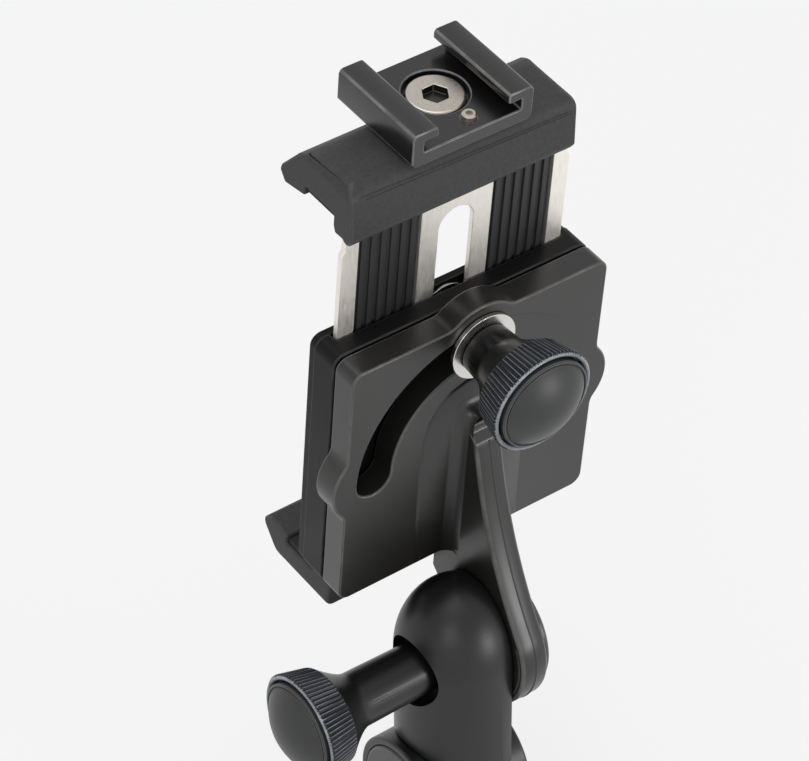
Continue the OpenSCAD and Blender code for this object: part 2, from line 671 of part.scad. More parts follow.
module shoe() {
    w = shoe_w/2;
    s = shoe_slot_w/2;
    g = shoe_gap_w/2;
    z1 = shoe_floor;
    z2 = shoe_floor + shoe_slot_h;
    z3 = z2 + shoe_lip;
    color("#232325") place_clamp() translate([0, 0, jaw_top]) difference() {
        translate([shoe_x, 0, 0]) slab(shoe_rear, shoe_rear + shoe_l) polygon([[0.8 - w, 0],
            [w - 0.8, 0], [w, 0.8], [w, z3 - 0.8], [w - 0.25, z3 - 0.25], [w - 0.8, z3],
            [g + 0.6, z3], [g + 0.15, z3 - 0.2], [g, z3 - 0.6], [g, z2], [s, z2], [s, z1], [-s, z1],
            [-s, z2], [-g, z2], [-g, z3 - 0.6], [-g - 0.15, z3 - 0.2], [-g - 0.6, z3],
            [0.8 - w, z3], [0.25 - w, z3 - 0.25], [-w, z3 - 0.8], [-w, 0.8]]);
        translate([shoe_screw_x, shoe_screw_y, 0]) {
            translate([0, 0, -1]) cylinder(r = 2 + seat, h = 9);
            translate([0, 0, 0.6]) cylinder(r = shoe_head_r + 0.55, h = 9);
        }
        translate([shoe_screw_x + 0.6, shoe_rear + 3, 1]) cylinder(r = 1.2 + seat, h = 9);
    }
}
module shoe_screw() {
    r = shoe_head_r;
    top = shoe_floor - 0.3;
    color("#b9b2a6") place_clamp() translate([shoe_screw_x, shoe_screw_y, jaw_top]) difference() {
        rotate_extrude() polygon([[0, -6.5], [2, -6.5], [2, 0.6 + seat], [r, 0.6 + seat],
            [r, top - 0.3], [r - 0.3, top], [0, top]]);
        translate([0, 0, top - 1.3]) cylinder(r = 2.3, h = 3, $fn = 6);
    }
}
module shoe_stop_pin() {
    h = shoe_floor - 0.1;
    color("#b9b2a6") place_clamp()
        translate([shoe_screw_x + 0.6, shoe_rear + 3, jaw_top + 1 + seat]) difference() {
            rotate_extrude() polygon([[0, 0], [1.2, 0], [1.2, h - 0.2], [1, h], [0, h]]);
            translate([0, 0, h - 0.8]) cylinder(r = 0.65, h = 2, $fn = 6);
        }
}

base();
foot_pad();
thread_insert();
fold_pin();
fold_cap_left();
fold_cap_right();
post();
tilt_washer();
arm_plate();
eye_cap();
tilt_bolt();
pivot_pin();
tilt_knob_body();
tilt_knob_grip();
tilt_knob_cap();
tilt_knob_nut();
shell();
cover();
back_pad();
cover_screws();
clamp_stud();
turn_washer();
pivot_washer();
lower_jaw();
lower_jaw_pad();
lower_jaw_screws();
turn_knob_body();
turn_knob_grip();
turn_knob_cap();
turn_knob_nut();
slider_plate();
rib_panel_left();
rib_panel_right();
upper_jaw();
upper_jaw_pad();
shoe();
shoe_screw();
shoe_stop_pin();
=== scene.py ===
# Tripod clamp on a tilting post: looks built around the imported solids
import json
import math

import bmesh
import bpy
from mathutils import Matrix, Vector
from mathutils.bvhtree import BVHTree


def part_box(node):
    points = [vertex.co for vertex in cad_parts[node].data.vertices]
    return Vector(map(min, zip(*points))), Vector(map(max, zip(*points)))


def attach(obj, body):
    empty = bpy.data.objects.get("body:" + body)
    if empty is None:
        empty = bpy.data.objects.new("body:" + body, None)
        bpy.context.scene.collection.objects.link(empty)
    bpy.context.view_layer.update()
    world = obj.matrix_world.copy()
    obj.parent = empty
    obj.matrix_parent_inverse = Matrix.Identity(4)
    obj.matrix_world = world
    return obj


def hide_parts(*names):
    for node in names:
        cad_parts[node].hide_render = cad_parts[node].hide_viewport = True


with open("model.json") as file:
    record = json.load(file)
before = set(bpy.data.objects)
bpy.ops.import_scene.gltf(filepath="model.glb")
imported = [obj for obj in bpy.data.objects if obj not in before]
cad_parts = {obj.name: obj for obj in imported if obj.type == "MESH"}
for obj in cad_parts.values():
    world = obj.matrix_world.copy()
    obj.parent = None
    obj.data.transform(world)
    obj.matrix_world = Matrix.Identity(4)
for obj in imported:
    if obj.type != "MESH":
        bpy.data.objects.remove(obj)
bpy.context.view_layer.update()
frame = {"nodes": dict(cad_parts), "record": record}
mm = 0.001
print("frame: %d solids" % len(frame["nodes"]))

# places that the pieces share, in millimetres, as the solids have them
lean = math.radians(6.3)
clampX = 6.8
tiltZ = 49.3
seamAhead = 14.3
pivotUp = 39.6
arcRadius = 20.0
plateRear = -5.0


def fromClamp(x, y, z):
    # a place in the leaning clamp frame, in the model's own frame
    across = clampX + x
    ahead = (seamAhead + y) * math.cos(lean) - (pivotUp + z) * math.sin(lean)
    up = tiltZ + (seamAhead + y) * math.sin(lean) + (pivotUp + z) * math.cos(lean)
    return Vector((across, ahead, up)) * mm


# camera fitted to the photograph
camera = {
    "place": (-280.16, -365.17, 476.90), "turn": (51.216, 0.447, -36.798),
    "lens": 164.78, "sensor": 36, "near": 0.01, "far": 20,
}
cameraData = bpy.data.cameras.new("camera")
cameraData.lens = camera["lens"]
cameraData.sensor_width = camera["sensor"]
cameraData.clip_start = camera["near"]
cameraData.clip_end = camera["far"]
cameraObject = bpy.data.objects.new("camera", cameraData)
cameraObject.location = Vector(camera["place"]) * mm
cameraObject.rotation_euler = [math.radians(a) for a in camera["turn"]]
bpy.context.collection.objects.link(cameraObject)
bpy.context.scene.camera = cameraObject
print("camera placed")

# shared shader effects, each a node group with named inputs and outputs


def newGroup(name, inputs, outputs):
    group = bpy.data.node_groups.new(name, "ShaderNodeTree")
    for label, kind, value in inputs:
        socket = group.interface.new_socket(label, in_out="INPUT", socket_type=kind)
        socket.default_value = value
    for label, kind in outputs:
        group.interface.new_socket(label, in_out="OUTPUT", socket_type=kind)
    return group, group.nodes.new("NodeGroupInput"), group.nodes.new("NodeGroupOutput")


def feed(tree, socket, value):
    # a plain number goes on the socket, anything else is linked to it
    if isinstance(value, (int, float)):
        socket.default_value = value
    else:
        tree.links.new(value, socket)


def mathNode(tree, operation, first, second):
    node = tree.nodes.new("ShaderNodeMath")
    node.operation = operation
    feed(tree, node.inputs[0], first)
    feed(tree, node.inputs[1], second)
    return node.outputs[0]


def noiseNode(tree, vector, scale, detail, roughness):
    node = tree.nodes.new("ShaderNodeTexNoise")
    node.inputs["Detail"].default_value = detail
    node.inputs["Roughness"].default_value = roughness
    tree.links.new(vector, node.inputs["Vector"])
    feed(tree, node.inputs["Scale"], scale)
    return node.outputs["Fac"]


def mouldGrain():
    # fine moulded or sprayed texture, with a broad unevenness
    fineShare = 0.55
    group, given, out = newGroup(
        "mouldGrain",
        [("Scale", "NodeSocketFloat", 2500.0), ("Unevenness", "NodeSocketFloat", 60.0)],
        [("Height", "NodeSocketFloat"), ("Mottle", "NodeSocketFloat"), ("Haze", "NodeSocketFloat")],
    )
    place = group.nodes.new("ShaderNodeTexCoord").outputs["Object"]
    fine = noiseNode(group, place, given.outputs["Scale"], detail=2.0, roughness=0.6)
    broad = noiseNode(group, place, given.outputs["Unevenness"], detail=4.0, roughness=0.6)
    group.links.new(fine, out.inputs["Height"])
    fineMottle = mathNode(group, "MULTIPLY", fine, fineShare)
    broadMottle = mathNode(group, "MULTIPLY", broad, 1 - fineShare)
    group.links.new(mathNode(group, "ADD", fineMottle, broadMottle), out.inputs["Mottle"])
    group.links.new(broad, out.inputs["Haze"])
    return group


def brushMarks():
    # long fine scratches along one axis
    group, given, out = newGroup(
        "brushMarks",
        [("Across", "NodeSocketVector", (5200.0, 5200.0, 90.0))],
        [("Height", "NodeSocketFloat"), ("Streak", "NodeSocketFloat")],
    )
    place = group.nodes.new("ShaderNodeTexCoord").outputs["Object"]
    mapping = group.nodes.new("ShaderNodeMapping")
    group.links.new(place, mapping.inputs["Vector"])
    group.links.new(given.outputs["Across"], mapping.inputs["Scale"])
    streak = noiseNode(group, mapping.outputs["Vector"], 1.0, detail=3.0, roughness=0.7)
    group.links.new(streak, out.inputs["Height"])
    group.links.new(streak, out.inputs["Streak"])
    return group


def edgeHighlight():
    # painted highlight on the rounded edges, broken into patches; the mesh marks these edges in its "rim"
    # attribute
    group, given, out = newGroup(
        "edgeHighlight",
        [("Amount", "NodeSocketFloat", 0.5), ("Patchiness", "NodeSocketFloat", 400.0)],
        [("Mask", "NodeSocketFloat")],
    )
    rim = group.nodes.new("ShaderNodeAttribute")
    rim.attribute_name = "rim"
    place = group.nodes.new("ShaderNodeTexCoord").outputs["Object"]
    patches = noiseNode(group, place, given.outputs["Patchiness"], detail=3.0, roughness=0.6)
    strength = mathNode(group, "MULTIPLY", patches, given.outputs["Amount"])
    group.links.new(mathNode(group, "MULTIPLY", rim.outputs["Fac"], strength), out.inputs["Mask"])
    return group


grainGroup, brushGroup, highlightGroup = mouldGrain(), brushMarks(), edgeHighlight()
print("shader groups made")


def placeGroup(tree, group, values):
    node = tree.nodes.new("ShaderNodeGroup")
    node.node_tree = group
    for label, value in values.items():
        node.inputs[label].default_value = value
    return node


def colourMix(tree, mask, first, second):
    node = tree.nodes.new("ShaderNodeMix")
    node.data_type = "RGBA"
    tree.links.new(mask, node.inputs[0])
    for index, colour in ((6, first), (7, second)):  # the colour sockets of a mix node
        if isinstance(colour, (tuple, list)):
            node.inputs[index].default_value = (*colour, 1)
        else:
            tree.links.new(colour, node.inputs[index])
    return node.outputs[2]


def rangeNode(tree, value, low, high, start=0.3, end=0.7):
    node = tree.nodes.new("ShaderNodeMapRange")
    tree.links.new(value, node.inputs["Value"])
    for label, number in (("From Min", start), ("From Max", end), ("To Min", low), ("To Max", high)):
        node.inputs[label].default_value = number
    return node.outputs[0]


def bumpNode(tree, height, look):
    node = tree.nodes.new("ShaderNodeBump")
    node.inputs["Strength"].default_value = look["bump"]
    node.inputs["Distance"].default_value = look["depth"] * mm
    tree.links.new(height, node.inputs["Height"])
    return node.outputs["Normal"]


def newMaterial(name):
    material = bpy.data.materials.new(name)
    material.use_nodes = True
    return material, material.node_tree, material.node_tree.nodes["Principled BSDF"]


def scaled(colour, factor):
    return [channel * factor for channel in colour]


# what all painted, moulded and bare finishes share, with the patches of the painted edge highlight and the
# painted shade in a screw socket
common = {"glintPatches": 350.0, "mottleFrom": 0.35, "mottleTo": 0.65, "paintedSocketShade": 0.12}


def grainyFinish(name, look):
    # paint, moulded plastic or rubber
    material, tree, shader = newMaterial(name)
    grain = placeGroup(tree, grainGroup, {"Scale": look["grain"], "Unevenness": look["unevenness"]})
    edgeGlint = placeGroup(tree, highlightGroup, {"Amount": look["edgeGlint"], "Patchiness": common["glintPatches"]})
    dark = scaled(look["colour"], 1 - look["contrast"])
    light = scaled(look["colour"], 1 + look["contrast"])
    mottle = rangeNode(tree, grain.outputs["Mottle"], 0, 1, common["mottleFrom"], common["mottleTo"])
    # the edge colour goes in where the mask says: a painted highlight on the rounded edges
    colour = colourMix(tree, edgeGlint.outputs["Mask"], colourMix(tree, mottle, dark, light), look["edge"])
    tree.links.new(colour, shader.inputs["Base Color"])
    tree.links.new(rangeNode(tree, grain.outputs["Haze"], *look["roughness"]), shader.inputs["Roughness"])
    tree.links.new(bumpNode(tree, grain.outputs["Height"], look), shader.inputs["Normal"])
    shader.inputs["Metallic"].default_value = look.get("metallic", 0.0)
    shader.inputs["Specular IOR Level"].default_value = look.get("specular", 0.5)
    return material


def metalFinish(name, look):
    # bare metal with brushing or turning marks
    material, tree, shader = newMaterial(name)
    marks = placeGroup(tree, brushGroup, {"Across": look["across"]})
    streak = rangeNode(tree, marks.outputs["Streak"], 0, 1)
    shade = tree.nodes.new("ShaderNodeAttribute")  # painted shade: 1 in a socket, where light doesn't reach, drawn darker
    shade.attribute_name = "shade"
    clean = colourMix(tree, streak, scaled(look["colour"], 1 - look["contrast"]), look["colour"])
    shaded = colourMix(tree, shade.outputs["Fac"], clean, scaled(look["colour"], common["paintedSocketShade"]))
    tree.links.new(shaded, shader.inputs["Base Color"])
    tree.links.new(rangeNode(tree, marks.outputs["Streak"], *look["roughness"]), shader.inputs["Roughness"])
    tree.links.new(bumpNode(tree, marks.outputs["Height"], look), shader.inputs["Normal"])
    shader.inputs["Metallic"].default_value = 1.0
    return material


# each finish's edge colour, with its edgeGlint amount, is a painted highlight on its rounded edges
finishes = {
    "castingPaint": {
        "colour": (0.0135, 0.0130, 0.0120), "edge": (0.150, 0.146, 0.140), "roughness": (0.29, 0.36),
        "grain": 2600.0, "unevenness": 45.0, "contrast": 0.07, "bump": 0.3, "depth": 0.02, "edgeGlint": 0.8,
        "specular": 0.6,
    },
    "postPaint": {
        "colour": (0.0065, 0.0065, 0.0068), "edge": (0.070, 0.070, 0.070), "roughness": (0.34, 0.42),
        "grain": 2200.0, "unevenness": 40.0, "contrast": 0.08, "bump": 0.3, "depth": 0.02, "edgeGlint": 0.6,
    },
    "bodyPlastic": {
        "colour": (0.0055, 0.0055, 0.0058), "edge": (0.075, 0.075, 0.075), "roughness": (0.40, 0.50),
        "grain": 2800.0, "unevenness": 50.0, "contrast": 0.10, "bump": 0.35, "depth": 0.02, "edgeGlint": 0.7,
        "specular": 0.16,
    },
    "jawPlastic": {
        "colour": (0.040, 0.040, 0.041), "edge": (0.075, 0.075, 0.076), "roughness": (0.55, 0.68),
        "grain": 1500.0, "unevenness": 60.0, "contrast": 0.22, "bump": 0.9, "depth": 0.05, "edgeGlint": 0.8,
        "specular": 0.35,
    },
    "ribPlastic": {
        "colour": (0.018, 0.018, 0.0185), "edge": (0.034, 0.034, 0.034), "roughness": (0.50, 0.62),
        "grain": 2200.0, "unevenness": 60.0, "contrast": 0.12, "bump": 0.5, "depth": 0.02, "edgeGlint": 0.3,
    },
    "softRubber": {
        "colour": (0.010, 0.010, 0.010), "edge": (0.022, 0.022, 0.022), "roughness": (0.70, 0.85),
        "grain": 2400.0, "unevenness": 50.0, "contrast": 0.14, "bump": 0.6, "depth": 0.03, "edgeGlint": 0.2,
    },
    "shoeBlack": {
        "colour": (0.0060, 0.0060, 0.0064), "edge": (0.17, 0.168, 0.16), "roughness": (0.20, 0.27),
        "grain": 2600.0, "unevenness": 60.0, "contrast": 0.10, "bump": 0.25, "depth": 0.015, "edgeGlint": 1.3,
        "specular": 0.8,
    },
    "knobBlack": {
        "colour": (0.0045, 0.0045, 0.0048), "edge": (0.045, 0.045, 0.048), "roughness": (0.30, 0.38),
        "grain": 2600.0, "unevenness": 60.0, "contrast": 0.08, "bump": 0.2, "depth": 0.015, "edgeGlint": 0.3,
    },
    "knurlBlue": {
        "colour": (0.026, 0.028, 0.034), "edge": (0.42, 0.45, 0.50), "roughness": (0.30, 0.38),
        "grain": 2600.0, "unevenness": 80.0, "contrast": 0.12, "bump": 0.2, "depth": 0.015, "edgeGlint": 1.2,
        "metallic": 0.35,
    },
    "capGrey": {
        "colour": (0.026, 0.0268, 0.0280), "edge": (0.18, 0.18, 0.185), "roughness": (0.40, 0.46),
        "grain": 2600.0, "unevenness": 60.0, "contrast": 0.04, "bump": 0.1, "depth": 0.01, "edgeGlint": 0.5,
    },
    "screwBlack": {
        "colour": (0.010, 0.010, 0.010), "edge": (0.05, 0.05, 0.05), "roughness": (0.35, 0.45),
        "grain": 2600.0, "unevenness": 60.0, "contrast": 0.1, "bump": 0.2, "depth": 0.01, "edgeGlint": 0.4,
        "metallic": 0.5,
    },
}
metals = {
    "brushedSteel": {
        "colour": (0.92, 0.885, 0.82), "contrast": 0.12, "roughness": (0.46, 0.58),
        "across": (4200.0, 4200.0, 70.0), "bump": 0.2, "depth": 0.01,
    },
    "brightSteel": {
        "colour": (0.74, 0.72, 0.68), "contrast": 0.08, "roughness": (0.20, 0.30),
        "across": (900.0, 900.0, 900.0), "bump": 0.1, "depth": 0.005,
    },
    "warmSteel": {
        "colour": (0.68, 0.625, 0.55), "contrast": 0.12, "roughness": (0.26, 0.36),
        "across": (1500.0, 1500.0, 1500.0), "bump": 0.15, "depth": 0.01,
    },
    "turnedBrass": {
        "colour": (0.68, 0.49, 0.23), "contrast": 0.15, "roughness": (0.24, 0.36),
        "across": (500.0, 500.0, 6000.0), "bump": 0.2, "depth": 0.01,
    },
}
material = {name: grainyFinish(name, look) for name, look in finishes.items()}
material.update({name: metalFinish(name, look) for name, look in metals.items()})
print("materials: %d" % len(material))


def shownMesh(name, mesh, body, finish, nodes):
    piece = bpy.data.objects.new(name, mesh)
    bpy.context.collection.objects.link(piece)
    mesh.materials.clear()
    mesh.materials.append(material[finish])
    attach(piece, body)
    if nodes:
        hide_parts(*nodes)
    return piece


def bodyOf(node):
    return next(name for name, nodes in frame["record"]["behaviour"]["bodies"].items() if node in nodes)


# how the solids' edges are rounded, lengths in millimetres and angles in degrees
rounding = {"segments": 3, "fromAngle": 28.0, "merge": 0.002, "flat": 0.6, "sliver": 0.09, "overshoot": 0.07}


def markRim(mesh):
    # faces that the rounding made carry 1 in the "rim" attribute
    rim = mesh.attributes.new("rim", "FLOAT", "FACE")
    rim.data.foreach_set("value", [float(polygon.material_index > 0) for polygon in mesh.polygons])
    for polygon in mesh.polygons:
        polygon.material_index = 0


def pullBack(rounded, solid):
    # a corner of the rounding that overshot goes back to the solid's surface
    tree = BVHTree.FromPolygons([v.co for v in solid.vertices], [tuple(p.vertices) for p in solid.polygons])
    for vertex in rounded.vertices:
        place, normal, _, far = tree.find_nearest(vertex.co)
        if far > rounding["overshoot"] * mm and (vertex.co - place).dot(normal) > 0:
            vertex.co = place


def softened(name, node, finish, width, clamped):
    # a copy of a solid with its sharp edges rounded, in place of the solid
    mesh = frame["nodes"][node].data.copy()
    mesh.materials.clear()
    work = bmesh.new()
    work.from_mesh(mesh)
    bmesh.ops.remove_doubles(work, verts=work.verts, dist=rounding["merge"] * mm)
    flat = math.radians(rounding["flat"])
    bmesh.ops.dissolve_limit(work, angle_limit=flat, verts=work.verts, edges=work.edges)
    if not clamped:  # slivers would tear in the rounding
        bmesh.ops.dissolve_degenerate(work, dist=rounding["sliver"] * mm, edges=work.edges)
    for face in work.faces:
        face.material_index = 0
        face.smooth = True
    work.to_mesh(mesh)
    work.free()
    if "custom_normal" in mesh.attributes:
        mesh.attributes.remove(mesh.attributes["custom_normal"])
    piece = bpy.data.objects.new("work", mesh)
    bpy.context.collection.objects.link(piece)
    for _ in range(2):  # the second slot is for the faces that the rounding makes
        mesh.materials.append(material[finish])
    bevel = piece.modifiers.new("round", "BEVEL")
    bevel.width = width * mm
    bevel.segments = rounding["segments"]
    bevel.limit_method = "ANGLE"
    bevel.angle_limit = math.radians(rounding["fromAngle"])
    bevel.harden_normals = True
    bevel.material = 1
    bevel.miter_outer = "MITER_ARC"
    bevel.use_clamp_overlap = clamped
    shaped = piece.evaluated_get(bpy.context.evaluated_depsgraph_get())
    rounded = bpy.data.meshes.new_from_object(shaped)
    bpy.data.objects.remove(piece)
    if not clamped:
        pullBack(rounded, mesh)
    markRim(rounded)
    rounded.name = name
    shownMesh(name, rounded, bodyOf(node), finish, [node])


# every piece that keeps the outline of its solid, with the rounding of its edges in millimetres
pieces = {
    "foot": ("base", "postPaint", 0.5),
    "footPad": ("foot_pad", "softRubber", 0.2),
    "threadInsert": ("thread_insert", "turnedBrass", 0.2),
    "foldPin": ("fold_pin", "brushedSteel", 0.2),
    "foldCapLeft": ("fold_cap_left", "castingPaint", 0.15),
    "foldCapRight": ("fold_cap_right", "castingPaint", 0.15),
    "post": ("post", "postPaint", 0.4),
    "tiltWasher": ("tilt_washer", "warmSteel", 0.1),
    "armAndPlate": ("arm_plate", "castingPaint", 0.35),
    "eyeCap": ("eye_cap", "castingPaint", 0.3),
    "tiltBolt": ("tilt_bolt", "brushedSteel", 0.2),
    "pivotPin": ("pivot_pin", "brushedSteel", 0.2),
    "pivotWasher": ("pivot_washer", "warmSteel", 0.1),
    "tiltKnobBody": ("tilt_knob_body", "knobBlack", 0.2),
    "tiltKnobGrip": ("tilt_knob_grip", "knurlBlue", 0.09),
    "tiltKnobCap": ("tilt_knob_cap", "capGrey", 0.25),
    "tiltKnobNut": ("tilt_knob_nut", "turnedBrass", 0.1),
    "bodyShell": ("shell", "bodyPlastic", 0.35),
    "bodyCover": ("cover", "bodyPlastic", 0.2),
    "backPad": ("back_pad", "softRubber", 0.1),
    "coverScrews": ("cover_screws", "screwBlack", 0.1),
    "clampStud": ("clamp_stud", "brightSteel", 0.15),
    "turnWasher": ("turn_washer", "brightSteel", 0.12),
    "lowerJaw": ("lower_jaw", "jawPlastic", 0.5),
    "lowerJawPad": ("lower_jaw_pad", "softRubber", 0.15),
    "lowerJawScrews": ("lower_jaw_screws", "screwBlack", 0.1),
    "turnKnobBody": ("turn_knob_body", "knobBlack", 0.2),
    "turnKnobGrip": ("turn_knob_grip", "knurlBlue", 0.09),
    "turnKnobCap": ("turn_knob_cap", "capGrey", 0.25),
    "turnKnobNut": ("turn_knob_nut", "turnedBrass", 0.1),
    "sliderPlate": ("slider_plate", "brushedSteel", 0.12),
    "ribPanelLeft": ("rib_panel_left", "ribPlastic", 0.15),
    "ribPanelRight": ("rib_panel_right", "ribPlastic", 0.15),
    "upperJaw": ("upper_jaw", "jawPlastic", 0.4),
    "upperJawPad": ("upper_jaw_pad", "softRubber", 0.15),
    "shoe": ("shoe", "shoeBlack", 0.25),
    "shoeScrew": ("shoe_screw", "warmSteel", 0.15),
    "shoeStopPin": ("shoe_stop_pin", "warmSteel", 0.12),
}
# these have short edges that would hold the whole rounding back, so theirs isn't clamped
openRounded = {
    "armAndPlate", "bodyShell", "upperJaw", "lowerJaw", "shoe", "foot", "bodyCover", "sliderPlate",
    "tiltKnobGrip", "turnKnobGrip",
}
for name, (node, finish, width) in pieces.items():
    softened(name, node, finish, width, clamped=name not in openRounded)
print("pieces: %d" % len(pieces))


def faceMark(piece, label, measure):
    # writes a number from 0 to 1 on each face, from its middle in millimetres
    mesh = piece.data
    mark = mesh.attributes.get(label) or mesh.attributes.new(label, "FLOAT", "FACE")
    for index, polygon in enumerate(mesh.polygons):
        value = measure(polygon.center / mm)
        if value is not None:
            mark.data[index].value = value


def alongAndAcross(place, middle, way):
    # how far a place is along an axis, and how far out from it
    along = (place - middle).dot(way)
    return along, (place - middle - way * along).length


# painted highlight on the tips and front edges of the two knurls
knurl = {
    "rearRadius": 8.6, "frontRadius": 9.9, "length": 5.8, "toothDepth": 0.8,
    "tip": 0.11, "tipHighlight": 0.8, "frontBand": 0.25, "frontHighlight": 1.0,
}
knobWays = {
    "tiltKnobGrip": (Vector((0, 0, tiltZ)), Vector((-1, 0, 0))),
    "turnKnobGrip": (fromClamp(0, 0, arcRadius) / mm, Vector((0, -math.cos(lean), -math.sin(lean)))),
}


def knurlHighlight(piece, middle, way):
    # painted highlight for a face of the grip, by where its middle is; faces inside the teeth keep what they
    # have
    front = max((vertex.co / mm - middle).dot(way) for vertex in piece.data.vertices)

    def glint(place):
        along, across = alongAndAcross(place, middle, way)
        if across < knurl["rearRadius"] - knurl["toothDepth"]:
            return None
        if along > front - knurl["frontBand"]:
            return knurl["frontHighlight"]
        taper = (knurl["frontRadius"] - knurl["rearRadius"]) * (front - along) / knurl["length"]
        return knurl["tipHighlight"] if across > knurl["frontRadius"] - taper - knurl["tip"] else 0.0

    return glint


for name, (middle, way) in knobWays.items():
    grip = bpy.data.objects[name]
    faceMark(grip, "rim", knurlHighlight(grip, middle, way))

# painted shade inside the shoe screw's socket
screwSocket = {"radius": 2.55, "rim": 0.12}
screwLow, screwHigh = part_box("shoe_screw")
screwMiddle = (Vector(screwLow) + Vector(screwHigh)) / 2 / mm
screwWay = Vector((0, -math.sin(lean), math.cos(lean)))
screwPiece = bpy.data.objects["shoeScrew"]
screwTop = max((vertex.co / mm - screwMiddle).dot(screwWay) for vertex in screwPiece.data.vertices)


def inSocket(place):
    along, across = alongAndAcross(place, screwMiddle, screwWay)
    return 1.0 if across < screwSocket["radius"] and along < screwTop - screwSocket["rim"] else 0.0


faceMark(screwPiece, "shade", inSocket)
# the painted knurl highlights and the painted shade in the screw socket are marked
print("wear marked")

addedForms = []


def meshPiece(name, points, faces, body, finish, smooth=True):
    # a new piece from places in millimetres in the clamp frame
    mesh = bpy.data.meshes.new(name)
    mesh.from_pydata([fromClamp(*point) for point in points], [], faces)
    work = bmesh.new()
    work.from_mesh(mesh)
    bmesh.ops.recalc_face_normals(work, faces=work.faces)
    for face in work.faces:
        face.smooth = smooth
    work.to_mesh(mesh)
    work.free()
    piece = shownMesh(name, mesh, body, finish, [])
    addedForms.append(name)
    return piece


def ringFaces(rings, count, closed=True):
    # quads between rings of the same number of points
    faces = []
    for row in range(rings - 1):
        low, high = row * count, (row + 1) * count
        for i in range(count if closed else count - 1):
            after = (i + 1) % count
            faces.append((low + i, low + after, high + after, high + i))
    return faces


def cappedFaces(rings, count):
    # the same, with a face over the last ring
    return ringFaces(rings, count) + [tuple(range((rings - 1) * count, rings * count))]


def arcPlaces(centre, radius, start, end, steps):
    # places along an arc in x, z, with its angles in degrees
    angles = [math.radians(start + (end - start) * i / steps) for i in range(steps + 1)]
    return [(centre[0] + radius * math.cos(angle), centre[1] + radius * math.sin(angle)) for angle in angles]


def inwards(outline, distance):
    # the outline, counterclockwise in x, z, moved in by a distance
    sharpest = 0.4  # keeps a sharp corner from running far in
    moved = []
    for index, corner in enumerate(outline):
        here = Vector(corner)
        first = (here - Vector(outline[index - 1])).normalized()
        second = (Vector(outline[(index + 1) % len(outline)]) - here).normalized()
        side = Vector((-first.y - second.y, first.x + second.x)).normalized()
        turn = max(sharpest, side.dot(Vector((-first.y, first.x))))
        moved.append(here + side * distance / turn)
    return moved


# low raised field on the rear plate, from under the washer to its lower edge, round the arm's root
field = {
    "outline": [
        (-10.0, -25.0), (11.4, -25.0), (11.1, -10.0), (10.6, 3.2), (9.6, 7.0),
        (7.6, 10.2), (5.2, 12.2), (2.4, 13.2), (-2.4, 13.2), (-5.2, 12.2),
        (-7.6, 10.2), (-9.6, 7.0), (-10.5, 3.2), (-10.7, -4.0), (-10.5, -14.0),
    ],
    "profile": ((-0.1, -0.05), (0.0, 0.04), (0.21, 0.1984), (0.42, 0.32)),  # each step inwards and up
}
points = []
for depth, height in field["profile"]:
    points += [(place.x, plateRear - height, place.y) for place in inwards(field["outline"], depth)]
faces = cappedFaces(len(field["profile"]), len(field["outline"]))
meshPiece("plateField", points, faces, "arm", "castingPaint")

# plain plate to the right of the washer, where the solid's arc slot goes on
web = {"half": 3.85, "from": 79, "proud": 0.02, "front": -0.25, "steps": 24, "endSteps": 12}
outline = arcPlaces((0, 0), arcRadius + web["half"], web["from"], 0, web["steps"])
outline += arcPlaces((arcRadius, 0), web["half"], 0, -180, web["endSteps"])[1:-1]
outline += arcPlaces((0, 0), arcRadius - web["half"], 0, web["from"], web["steps"])
points = [(x, y, z) for y in (web["front"], plateRear - web["proud"]) for x, z in outline]
meshPiece("slotWeb", points, cappedFaces(2, len(outline)), "arm", "castingPaint", smooth=False)

# hollow fillet round the head of the arm's root
fillet = {
    "half": 2.55, "top": 6.9, "low": -24.6, "corner": 1.5, "radius": 3.0, "start": 0.25,
    "steps": 7, "turns": 6, "sideSteps": 8,
}


def rootOutline():
    # up the root's left side, over its head and down the right side, in x, z with the way out
    shoulder = fillet["top"] - fillet["corner"]
    rise = (shoulder - fillet["low"]) / fillet["sideSteps"]
    heights = [fillet["low"] + rise * i for i in range(fillet["sideSteps"] + 1)]
    outline = [((-fillet["half"], z), (-1.0, 0.0)) for z in heights]
    for side, start, skipped in ((-1, 180, 1), (1, 90, 0)):
        centre = (side * (fillet["half"] - fillet["corner"]), shoulder)
        places = arcPlaces(centre, fillet["corner"], start, start - 90, fillet["turns"])
        ways = arcPlaces((0, 0), 1.0, start, start - 90, fillet["turns"])
        outline += list(zip(places, ways))[skipped:]
    return outline + [((fillet["half"], z), (1.0, 0.0)) for z in reversed(heights[:-1])]


outline = rootOutline()
points = []
for step in range(fillet["steps"] + 1):
    angle = math.radians(90 * step / fillet["steps"])
    out = fillet["radius"] * (1 - math.sin(angle))
    rear = plateRear - fillet["start"] - fillet["radius"] * (1 - math.cos(angle))
    points += [(x + wayX * out, rear, z + wayZ * out) for (x, z), (wayX, wayZ) in outline]
faces = ringFaces(fillet["steps"] + 1, len(outline), closed=False)
meshPiece("rootFillet", points, faces, "arm", "castingPaint")

# the arm's rear edge: a hollow curve from the root's head, then round the eye
arm = {
    "curve": 90.0, "eye": 12.5, "proud": 4.2, "headUp": 1.6,
    "curveSteps": 24, "eyeTurn": 150, "eyeSteps": 40,
}


